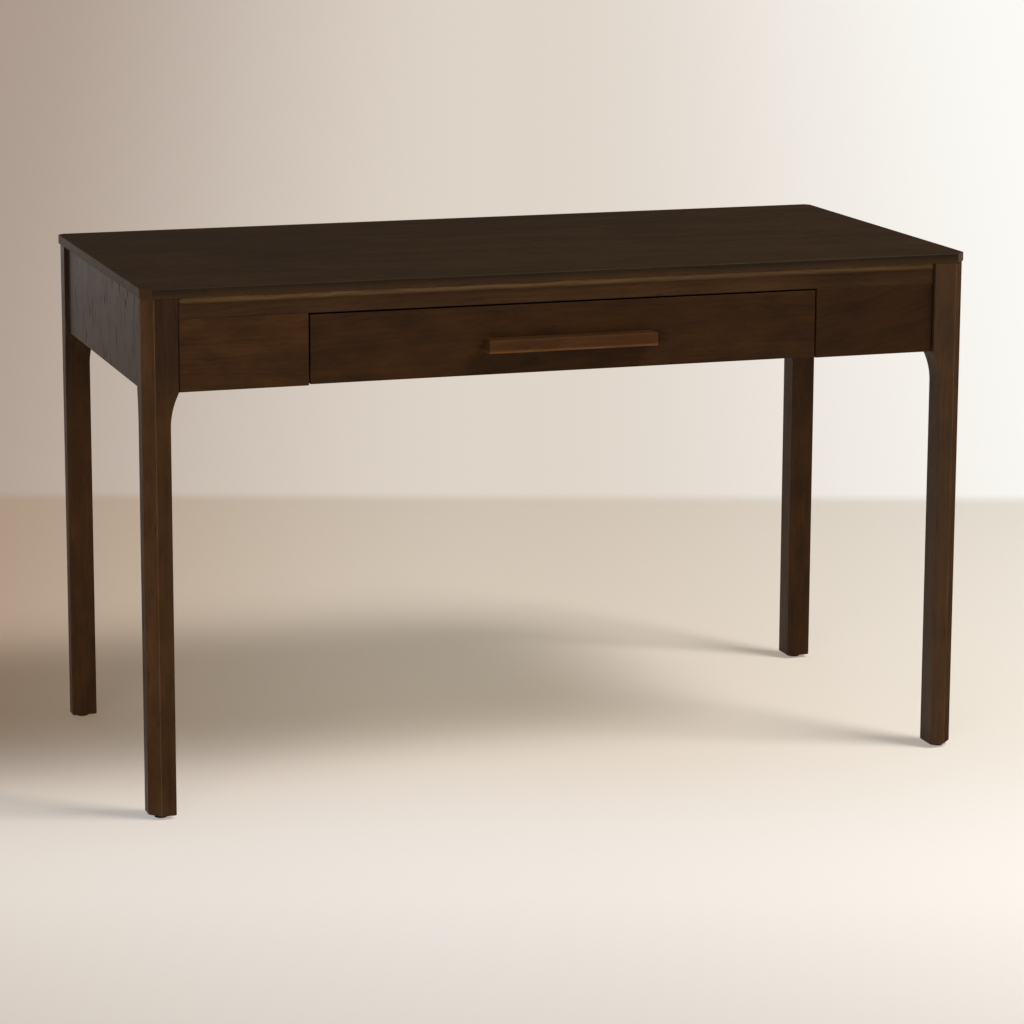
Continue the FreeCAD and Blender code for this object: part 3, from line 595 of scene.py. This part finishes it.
def loft(shape: bmesh.types.BMesh, rings: Sequence[Sequence[Vector]]) -> list[bmesh.types.BMFace]:
    """Skin closed rings of equal count into one closed solid.

    Args:
        shape: The mesh that gets the solid.
        rings: Rings of points, from one end to the other.

    Returns:
        The faces round the solid, ring by ring, without its two ends.
    """
    rows = add_points(shape, rings)
    made = skin(shape, rows)
    shape.faces.new(rows[0])
    shape.faces.new(rows[-1])
    return made


def turned(profile: Sequence[Point], flats: int, place: Matrix) -> list[list[Vector]]:
    """Give the rings of a piece turned about its axis.

    Args:
        profile: Radius and height of each ring.
        flats: Points of each ring.
        place: Where the axis stands.

    Returns:
        The rings in the desk's frame.
    """
    angles = [math.tau * k / flats for k in range(flats)]
    return [[place @ Vector((r * math.cos(a), r * math.sin(a), h)) for a in angles] for r, h in profile]


def seated(seat: Vector, direction: Sequence[float]) -> Matrix:
    """Give the place of a piece from its seat and the direction of its axis."""
    turn = Vector(direction).to_track_quat("Z", "Y").to_matrix().to_4x4()
    return Matrix.Translation(seat) @ turn


def rounded(corners: Sequence[Point], radius: float, steps: int) -> list[Point]:
    """Round the corners of a convex outline.

    Args:
        corners: The outline's corners in order.
        radius: Radius of each rounded corner.
        steps: Straight steps of each corner's arc.

    Returns:
        The outline's points.
    """
    made: list[Point] = []
    for i, corner in enumerate(corners):
        here = Vector(corner)
        back = (Vector(corners[i - 1]) - here).normalized()
        on = (Vector(corners[(i + 1) % len(corners)]) - here).normalized()
        half = back.angle(on) / 2
        centre = here + (back + on).normalized() * (radius / math.sin(half))
        start = here + back * (radius / math.tan(half)) - centre
        end = here + on * (radius / math.tan(half)) - centre
        for k in range(steps + 1):
            spoke = start.slerp(end, k / steps).normalized() * radius
            made.append((centre.x + spoke.x, centre.y + spoke.y))
    return made


def corner_name(side: int, end: int) -> str:
    """Name a corner of the desk from its side and end."""
    return f"{'front' if end < 0 else 'back'}_{'left' if side < 0 else 'right'}"


class LegFace(Enum):
    """The kinds of face round a leg; the value is the number of its finish."""

    FRONT = 0
    FLANK = 1
    FACET = 2
    PAINTED_HIGHLIGHT = 3


@dataclass
class Leg:
    """Leg with a square block, a concave knee on its two inner faces and a facet on its outer corner."""

    side: int
    end: int
    width: float = 50 * MM
    depth: float = 44 * MM
    width_taper: float = 12 * MM
    depth_taper: float = 5 * MM
    knee: float = 50 * MM
    facet: float = 16 * MM
    ease: float = 1.5 * MM
    foot: float = 5 * MM
    foot_ease: float = 1.2 * MM
    knee_top: float = 613 * MM
    head: float = 746 * MM
    outer_x: float = 624 * MM
    outer_front: float = -289.5 * MM
    outer_back: float = 308.5 * MM
    knee_steps: int = 12
    corner_steps: int = 3
    tone: float = 1.0
    front: WoodFinish = LEG_WALNUT
    flank: WoodFinish = LEG_WALNUT

    def slimness(self, z: float, taper: float) -> float:
        """Give how far the leg stands back from its block.

        Args:
            z: Height above the floor.
            taper: How far the slim leg stands back.

        Returns:
            The whole taper on the slim leg, less on the knee's arc and nothing on the block.
        """
        rise = min(max(z - (self.knee_top - self.knee), 0.0), self.knee)
        radius = (self.knee ** 2 + taper ** 2) / (2 * taper)
        return taper - radius + math.sqrt(radius ** 2 - rise ** 2)

    def section(self, z: float, inset: float = 0.0) -> list[Vector]:
        """Give the leg's outline at one height.

        Args:
            z: Height above the floor.
            inset: How far the outline is drawn in, for the eased foot.

        Returns:
            The outline's points in the desk's frame.
        """
        wide = self.width - self.slimness(z, self.width_taper) - inset
        deep = self.depth - self.slimness(z, self.depth_taper) - inset
        cut = self.facet + inset * (math.sqrt(2) - 1)
        corners = [(cut, inset), (wide, inset), (wide, deep), (inset, deep), (inset, cut)]
        outer_y = self.outer_front if self.end < 0 else self.outer_back
        return [Vector((self.side * (self.outer_x - u), outer_y - self.end * v, z))
                for u, v in rounded(corners, self.ease, self.corner_steps)]

    def build(self) -> bpy.types.Object:
        """Build and finish the leg.

        Returns:
            The leg's object.
        """
        low = self.knee_top - self.knee
        heights = [low + self.knee * k / self.knee_steps for k in range(self.knee_steps + 1)]
        rings = [self.section(self.foot, self.foot_ease), self.section(self.foot + self.foot_ease)]
        rings += [self.section(z) for z in heights] + [self.section(self.head)]
        # Round the leg, each flat follows an eased corner. The two corners beside the facet get a painted
        # highlight, a lighter finish.
        flats = (LegFace.FRONT, LegFace.FLANK, LegFace.FRONT, LegFace.FLANK, LegFace.FACET)
        corners = (LegFace.PAINTED_HIGHLIGHT, LegFace.FRONT, LegFace.FRONT, LegFace.FRONT, LegFace.PAINTED_HIGHLIGHT)
        step = self.corner_steps + 1
        shape = bmesh.new()
        for i, face in enumerate(loft(shape, rings)):
            flat, turn = divmod(i % (len(flats) * step), step)
            face.material_index = (flats if turn == self.corner_steps else corners)[flat].value
        finishes = {LegFace.FRONT: self.front, LegFace.FLANK: self.flank, LegFace.FACET: LIT_FACET_WALNUT,
                    LegFace.PAINTED_HIGHLIGHT: LEG_EDGE_HIGHLIGHT_WALNUT}
        materials = [finishes[kind].material(Grain.ALONG_Z) for kind in LegFace]
        node = f"leg_{corner_name(self.side, self.end)}"
        return new_piece(f"{node}_eased", shape, materials, Body.DESK, node, self.tone)


@dataclass
class Glide:
    """Round nylon glide under a leg, with the square tack that holds it."""

    side: int
    end: int
    radius: float = 9.5 * MM
    height: float = 5 * MM
    round_low: float = 1.2 * MM
    round_high: float = 0.6 * MM
    tack: float = 3 * MM
    tack_top: float = 21 * MM
    x: float = 605 * MM
    y_front: float = -270 * MM
    y_back: float = 289 * MM
    flats: int = 40
    round_steps: int = 4

    def profile(self) -> list[Point]:
        """Give the glide's outline, rounded at its tread and at its upper rim.

        Returns:
            Radius and height of each point, from the tread up.
        """
        quarter = [math.pi / 2 * k / self.round_steps for k in range(self.round_steps + 1)]
        low = [(self.radius - self.round_low * (1 - math.sin(a)), self.round_low * (1 - math.cos(a)))
               for a in quarter]
        high = [(self.radius - self.round_high * (1 - math.cos(a)),
                 self.height - self.round_high * (1 - math.sin(a))) for a in quarter]
        return low + high

    def build(self) -> bpy.types.Object:
        """Build and finish the glide.

        Returns:
            The glide's object.
        """
        place = Matrix.Translation((self.side * self.x, self.y_front if self.end < 0 else self.y_back, 0.0))
        shape = bmesh.new()
        loft(shape, turned(self.profile(), self.flats, place))
        half = self.tack / 2
        square = [(-half, -half), (half, -half), (half, half), (-half, half)]
        loft(shape, [[place @ Vector((x, y, z)) for x, y in square] for z in (self.height, self.tack_top)])
        node = f"glide_{corner_name(self.side, self.end)}"
        return new_piece(f"{node}_moulded", shape, [GLIDE_NYLON.material()], Body.DESK,
                         node)


@dataclass
class Screws:
    """Row of pan-head screws of one size, with cross recesses; seats are in millimetres.

    Fields with _to_ in their names are ratios, such as the pitch to the diameter.
    """

    node: str
    body: Body
    seats: Sequence[Place]
    directions: Sequence[Place]
    diameter: float
    length: float
    pitch_to_diameter: float = 0.28
    crest_to_pitch: float = 0.25
    root_to_pitch: float = 0.6
    root_to_thread: float = 0.78
    tip_to_thread: float = 0.1
    head_radius: float = 4 * MM
    head_height: float = 2 * MM
    rim_to_head: float = 0.35
    dome_angle: float = 60.0
    dome_steps: int = 4
    recess_reach: float = 2.3 * MM
    recess_width: float = 0.9 * MM
    recess_depth: float = 1.1 * MM
    shank_flats: int = 12
    head_flats: int = 24

    def screw(self, shape: bmesh.types.BMesh, place: Matrix) -> None:
        """Add one screw; its head bears on the origin of its place and its shank runs along +Z.

        Args:
            shape: The mesh that gets the screw.
            place: Where the screw sits.
        """
        thread = self.diameter / 2
        pitch = self.pitch_to_diameter * self.diameter
        shoulder = self.length - self.diameter
        shank = [(thread, 0.0)]
        for k in range(int(shoulder / pitch)):
            low = k * pitch
            shank += [(thread, low + self.crest_to_pitch * pitch),
                      (self.root_to_thread * thread, low + self.root_to_pitch * pitch), (thread, low + pitch)]
        shank += [(thread, shoulder), (self.tip_to_thread * thread, self.length)]
        loft(shape, turned(shank, self.shank_flats, place))
        self._head(shape, place)

    def _head(self, shape: bmesh.types.BMesh, place: Matrix) -> None:
        """Add the domed head with its cross recess.

        Args:
            shape: The mesh that gets the head.
            place: Where the screw sits.
        """
        bulge = [math.radians(self.dome_angle * k / self.dome_steps) for k in range(self.dome_steps + 1)]
        lift = (1 - self.rim_to_head) / math.sin(bulge[-1])
        dome = [(self.head_radius * math.cos(a), -self.head_height * (self.rim_to_head + lift * math.sin(a)))
                for a in bulge]
        rows = add_points(shape, turned([(self.head_radius, 0.0)] + dome, self.head_flats, place))
        shape.faces.new(rows[0])
        skin(shape, rows)
        long, half = self.recess_reach / 2, self.recess_width / 2
        cross = [(long, -half), (long, half), (half, half), (half, long), (-half, long), (-half, half),
                 (-long, half), (-long, -half), (-half, -half), (-half, -long), (half, -long), (half, -half)]
        rim, bed = add_points(shape, [[place @ Vector((x, y, z)) for x, y in cross]
                                      for z in (-self.head_height, self.recess_depth - self.head_height)])
        skin(shape, [rim, bed])
        shape.faces.new(bed)
        loops = [shape.edges.get((ring[i], ring[(i + 1) % len(ring)])) for ring in (rows[-1], rim)
                 for i in range(len(ring))]
        bmesh.ops.triangle_fill(shape, edges=loops, use_beauty=True)

    def build(self) -> bpy.types.Object:
        """Build and finish the row of screws.

        Returns:
            The object that holds them.
        """
        shape = bmesh.new()
        for seat, direction in zip(self.seats, self.directions):
            self.screw(shape, seated(Vector(seat) * MM, direction))
        return new_piece(f"{self.node}_threaded", shape, [SCREW_STEEL.material()], self.body,
                         self.node)


@dataclass
class Washers:
    """Round washers under the heads of the leg bolts."""

    radius: float = 10 * MM
    hole: float = 4.05 * MM
    thickness: float = 1.6 * MM
    ease: float = 0.25 * MM
    seat_x: float = 556.6 * MM
    seat_front: float = -222.1 * MM
    seat_back: float = 241.1 * MM
    level: float = 668.5 * MM
    flats: int = 32

    def build(self) -> bpy.types.Object:
        """Build and finish the four washers.

        Returns:
            The object that holds them.
        """
        shape = bmesh.new()
        profile = [(self.hole, 0.0), (self.radius - self.ease, 0.0), (self.radius, self.ease),
                   (self.radius, self.thickness - self.ease), (self.radius - self.ease, self.thickness),
                   (self.hole, self.thickness)]
        for end, y in ((-1, self.seat_front), (1, self.seat_back)):
            for side in (-1, 1):
                place = seated(Vector((side * self.seat_x, y, self.level)), (-side, -end, 0.0))
                rows = add_points(shape, turned(profile, self.flats, place))
                skin(shape, rows + rows[:1])
        return new_piece("leg_bolt_washers_round", shape, [SCREW_STEEL.material()], Body.DESK,
                         "leg_bolt_washers")


def screw_rows() -> list[Screws]:
    """Give every row of screws on the desk, with seats in millimetres.

    Returns:
        The rows.
    """
    pair = (-1, 1)
    upward, frontward = (0, 0, 1), (0, -1, 0)
    cleat_level, slide_level = 724, 663
    box_front = -251.5
    top = [(s * 337, 271.5, cleat_level) for s in pair]
    top += [(s * 587, y, cleat_level) for s in pair for y in (-120.5, 139.5)]
    slide = [(s, y) for s in pair for y in (-217.5, 102.5)]
    return [
        Screws("top_screws", Body.DESK, top, [upward] * len(top), 4.5 * MM, 31 * MM),
        Screws("drawer_front_screws", Body.DRAWER, [(s * 262.3, box_front, 670.1) for s in pair],
               [frontward] * len(pair), 4 * MM, 26 * MM),
        Screws("pull_screws", Body.DRAWER, [(s * 118, box_front, 658.05) for s in pair],
               [frontward] * len(pair), 4 * MM, 46 * MM),
        Screws("slide_fixed_screws", Body.DESK, [(s * 385.8, y, slide_level) for s, y in slide],
               [(s, 0, 0) for s, _ in slide], 3.5 * MM, 10.2 * MM),
        Screws("slide_drawer_screws", Body.DRAWER, [(s * 375.5, y, slide_level) for s, y in slide],
               [(-s, 0, 0) for s, _ in slide], 3.5 * MM, 10.2 * MM),
    ]


def dress_frame() -> None:
    """Finish the nodes of the frame that keep their own shape."""
    sides = ("left", "right")
    corners = [f"{end}_{side}" for end in ("front", "back") for side in sides]
    dress(["tabletop"], TOP_WALNUT.material(Grain.FLAT_X))
    dress(["front_rail"], RAIL_WALNUT.material(Grain.ALONG_X), tone=0.94)
    dress(["front_panel_left"], FRONT_WALNUT.material(Grain.ALONG_X))
    dress(["front_panel_right"], SLANT_WALNUT.material(Grain.ALONG_X), tone=0.68)
    dress(["back_apron"], SIDE_WALNUT.material(Grain.ALONG_X))
    dress([f"side_apron_{s}" for s in sides], SIDE_WALNUT.material(Grain.ALONG_Z))
    dress(["drawer_front"], FRONT_WALNUT.material(Grain.ALONG_X), tone=0.75)
    dress(["drawer_pull"], PULL_WALNUT.material(Grain.ALONG_X))
    dress(["drawer_box_front", "drawer_back"], DRAWER_BEECH.material(Grain.ALONG_X))
    dress([f"drawer_side_{s}" for s in sides], DRAWER_BEECH.material(Grain.ALONG_Y))
    dress(["drawer_bottom"], DRAWER_PLYWOOD.material(Grain.FLAT_X))
    dress(["top_cleat_back"], FRAME_POPLAR.material(Grain.ALONG_X))
    dress(["centre_stretcher", "top_cleat_left", "top_cleat_right", "drawer_bay_left", "drawer_bay_right"],
          FRAME_POPLAR.material(Grain.ALONG_Y))
    dress(["bay_glue_blocks"] + [f"corner_block_{c}" for c in corners],
          FRAME_POPLAR.material(Grain.ALONG_Z))
    dress([f"slide_{member}_{s}" for member in ("fixed", "middle", "drawer") for s in sides],
          SLIDE_STEEL.material())
    dress(["leg_bolts"], SCREW_STEEL.material())


@dataclass(frozen=True)
class PaperFinish:
    """Matt studio paper with a painted glow that the camera and reflections see: painted shade, dim and warm
    on the left, and a painted pool of light, pale on the right.

    Spans run away from the camera, with 0 at the desk's middle, and say where one look turns into the next.
    Tints run from left to right.
    """

    name: str
    half_width: float = 1.1
    far: float = 16.0
    far_widening: float = 3.0
    front_span: Span = (0.1, -0.7)
    back_span: Span = (1.66, 1.78)
    near_span: Span = (-0.8, -1.3)
    near_strength: float = 0.7
    level_tints: tuple[str, str, str] = ("#644f3c", "#948a7b", "#a09c94")
    raised_tints: tuple[str, str, str] = ("#ab9a8d", "#dfd4c8", "#fcfbf6")
    # The paper's own tints, browner on the left: painted shade.
    shaded_paper_tints: tuple[str, str, str] = ("#c3b09f", "#cec5be", "#dcd8d2")
    front_tint: str = "#aeaeac"
    # Black on the backdrop, which so takes no light and shows only its painted glow.
    backdrop_matt_tint: str = "#000000"

    def material(self) -> bpy.types.Material:
        """Build the finish.

        Returns:
            The material.
        """
        material, tree = new_material(self.name)
        path = add_node(tree, "LightPath")
        seen = add_node(tree, "Math", {0: path.outputs["Is Camera Ray"], 1: path.outputs["Is Glossy Ray"]},
                        operation="MAXIMUM")
        shown = add_node(tree, "Math", {0: seen.outputs[0], 1: path.outputs["Is Transmission Ray"]},
                         operation="MAXIMUM")
        split = add_node(tree, "SeparateXYZ", {0: add_node(tree, "TexCoord").outputs["Object"]})
        aside, away = split.outputs["X"], split.outputs["Y"]
        # The painted pool of light on the paper widens towards the back.
        wider = add_node(tree, "MapRange", {"Value": away, "From Max": self.far, "To Min": 1.0,
                                            "To Max": self.far_widening})
        fan = add_node(tree, "Math", {0: aside, 1: wider.outputs[0]}, operation="DIVIDE")
        across = add_node(tree, "MapRange", {"Value": fan.outputs[0], "From Min": -self.half_width,
                                             "From Max": self.half_width})
        blends = []
        for tints in (self.level_tints, self.raised_tints, self.shaded_paper_tints):
            ramp = add_node(tree, "ValToRGB", {0: across.outputs[0]})
            ramp.color_ramp.interpolation = "EASE"
            ramp.color_ramp.elements.new(0.5)
            for stop, tint in zip(ramp.color_ramp.elements, tints):
                stop.color = linear(tint)
            blends.append(ramp.outputs[0])
        level, raised, shaded_paper_tint = blends
        ahead, behind = (add_node(tree, "MapRange", {"Value": away, "From Min": start, "From Max": end},
                                  interpolation_type="SMOOTHSTEP").outputs[0]
                         for start, end in (self.front_span, self.back_span))
        front = add_node(tree, "Mix", {SHARE: ahead, FIRST_TINT: level,
                                       SECOND_TINT: linear(self.front_tint)}, data_type="RGBA")
        tint = add_node(tree, "Mix", {SHARE: behind, FIRST_TINT: front.outputs[MIXED_TINT],
                                      SECOND_TINT: raised}, data_type="RGBA")
        paper = add_node(tree, "Mix", {SHARE: behind, FIRST_TINT: shaded_paper_tint,
                                       SECOND_TINT: linear(self.backdrop_matt_tint)}, data_type="RGBA")
        # The painted glow is dimmer nearest the camera.
        dim = add_node(tree, "MapRange", {"Value": away, "From Min": self.near_span[0],
                                          "From Max": self.near_span[1], "To Min": 1.0,
                                          "To Max": self.near_strength})
        strength = add_node(tree, "Math", {0: shown.outputs[0], 1: dim.outputs[0]}, operation="MULTIPLY")
        glow = add_node(tree, "Emission", {"Color": tint.outputs[MIXED_TINT],
                                           "Strength": strength.outputs[0]})
        matt = add_node(tree, "BsdfDiffuse", {"Color": paper.outputs[MIXED_TINT]})
        both = add_node(tree, "AddShader", {0: glow.outputs[0], 1: matt.outputs[0]})
        add_node(tree, "OutputMaterial", {"Surface": both.outputs[0]})
        return material


@dataclass(frozen=True)
class SoftBox:
    """Lamp behind a wide cloth; the spread is the angle in degrees that its grid lets through."""

    name: str
    place: Place
    aim: Place
    size: tuple[float, float]
    watts: float
    tint: str
    spread: float = 180.0

    def hang(self) -> None:
        """Hang the lamp and turn it to what it faces."""
        data = bpy.data.lights.new(self.name, "AREA")
        data.spread = math.radians(self.spread)
        data.shape = "RECTANGLE"
        data.size, data.size_y = self.size
        data.energy = self.watts
        data.color = linear(self.tint)[:3]
        lamp = bpy.data.objects.new(self.name, data)
        lamp.location = self.place
        lamp.rotation_euler = (Vector(self.aim) - Vector(self.place)).to_track_quat("-Z", "Y").to_euler()
        bpy.context.scene.collection.objects.link(lamp)
        LOG.info("hung %s", self.name)


FLOOR_PAPER = PaperFinish("floor_paper_matt")
SOFT_BOXES = (
    SoftBox("key_box", (2.86, -2.08, 4.7), (0.0, 0.0, 0.5), (1.8, 1.8), 235.0, "#fffaf3"),
    SoftBox("front_box", (-3.0, -4.6, 0.6), (0.0, -0.2, 0.6), (2.4, 1.0), 23.0, "#fff8ef", 70.0),
    SoftBox("back_panel", (-1.5, 3.6, 0.9), (-0.6, 0.0, 0.6), (2.2, 1.4), 8.5, "#f9fbff"),
)


@dataclass
class Studio:
    """Plain pale floor, soft light and the camera at the photograph's viewing angle."""

    focal_px: float = 3465.3
    frame_px: float = 1024.0
    sensor_mm: float = 36.0
    axis_row: float = 410.0
    place: Place = (-1.6282, -4.9191, 1.4827)
    yaw: float = 18.406
    pitch: float = 10.682
    roll: float = 0.198
    floor_size: float = 60.0
    room_tint: str = "#f4eee4"
    room_strength: float = 0.10

    def camera(self) -> None:
        """Set the camera where the photograph was taken from."""
        data = bpy.data.cameras.new("camera")
        data.sensor_width = self.sensor_mm
        data.lens = self.focal_px / self.frame_px * self.sensor_mm
        data.shift_y = (self.axis_row - self.frame_px / 2) / self.frame_px
        camera = bpy.data.objects.new("camera", data)
        yaw, pitch, roll = (math.radians(a) for a in (self.yaw, self.pitch, self.roll))
        ahead = Vector((math.sin(yaw) * math.cos(pitch), math.cos(yaw) * math.cos(pitch), -math.sin(pitch)))
        right = Vector((math.cos(yaw), -math.sin(yaw), 0.0))
        up = right.cross(ahead)
        level = math.cos(roll) * right + math.sin(roll) * up
        over = math.cos(roll) * up - math.sin(roll) * right
        camera.matrix_world = Matrix((level, over, -ahead)).transposed().to_4x4()
        camera.location = self.place
        bpy.context.scene.collection.objects.link(camera)
        bpy.context.scene.camera = camera
        LOG.info("set the camera at %s", self.place)

    def floor(self) -> None:
        """Lay the paper floor, square to the camera."""
        shape = bmesh.new()
        bmesh.ops.create_grid(shape, x_segments=1, y_segments=1, size=self.floor_size / 2)
        mesh = bpy.data.meshes.new("floor")
        shape.to_mesh(mesh)
        shape.free()
        mesh.materials.append(FLOOR_PAPER.material())
        floor = bpy.data.objects.new("floor", mesh)
        floor.rotation_euler.z = -math.radians(self.yaw)
        bpy.context.scene.collection.objects.link(floor)

    def world(self) -> None:
        """Fill the room with weak even light."""
        world = bpy.data.worlds.new("room")
        bpy.context.scene.world = world
        world.use_nodes = True
        world.node_tree.nodes.clear()
        back = add_node(world.node_tree, "Background", {"Color": linear(self.room_tint),
                                                        "Strength": self.room_strength})
        add_node(world.node_tree, "OutputWorld", {"Surface": back.outputs[0]})

    def build(self) -> None:
        """Set the whole studio up."""
        bpy.context.scene.view_settings.view_transform = "Standard"
        self.camera()
        self.floor()
        self.world()
        for box in SOFT_BOXES:
            box.hang()


def main() -> None:
    """Build the desk's pieces in order, then the studio around it."""
    logging.basicConfig(level=logging.INFO, format="%(message)s")
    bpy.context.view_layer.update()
    dress_frame()
    for leg in (Leg(-1, -1, tone=0.95, front=BLOCK_WALNUT, flank=SIDE_WALNUT),
                Leg(1, -1, tone=0.94),
                Leg(-1, 1, tone=1.5, front=SHADED_BACK_LEG_WALNUT, flank=SIDE_WALNUT),
                Leg(1, 1, tone=0.9, front=SHADED_BACK_LEG_WALNUT)):
        leg.build()
        Glide(leg.side, leg.end).build()
    for row in screw_rows():
        row.build()
    Washers().build()
    Studio().build()


if __name__ == "__main__":
    main()
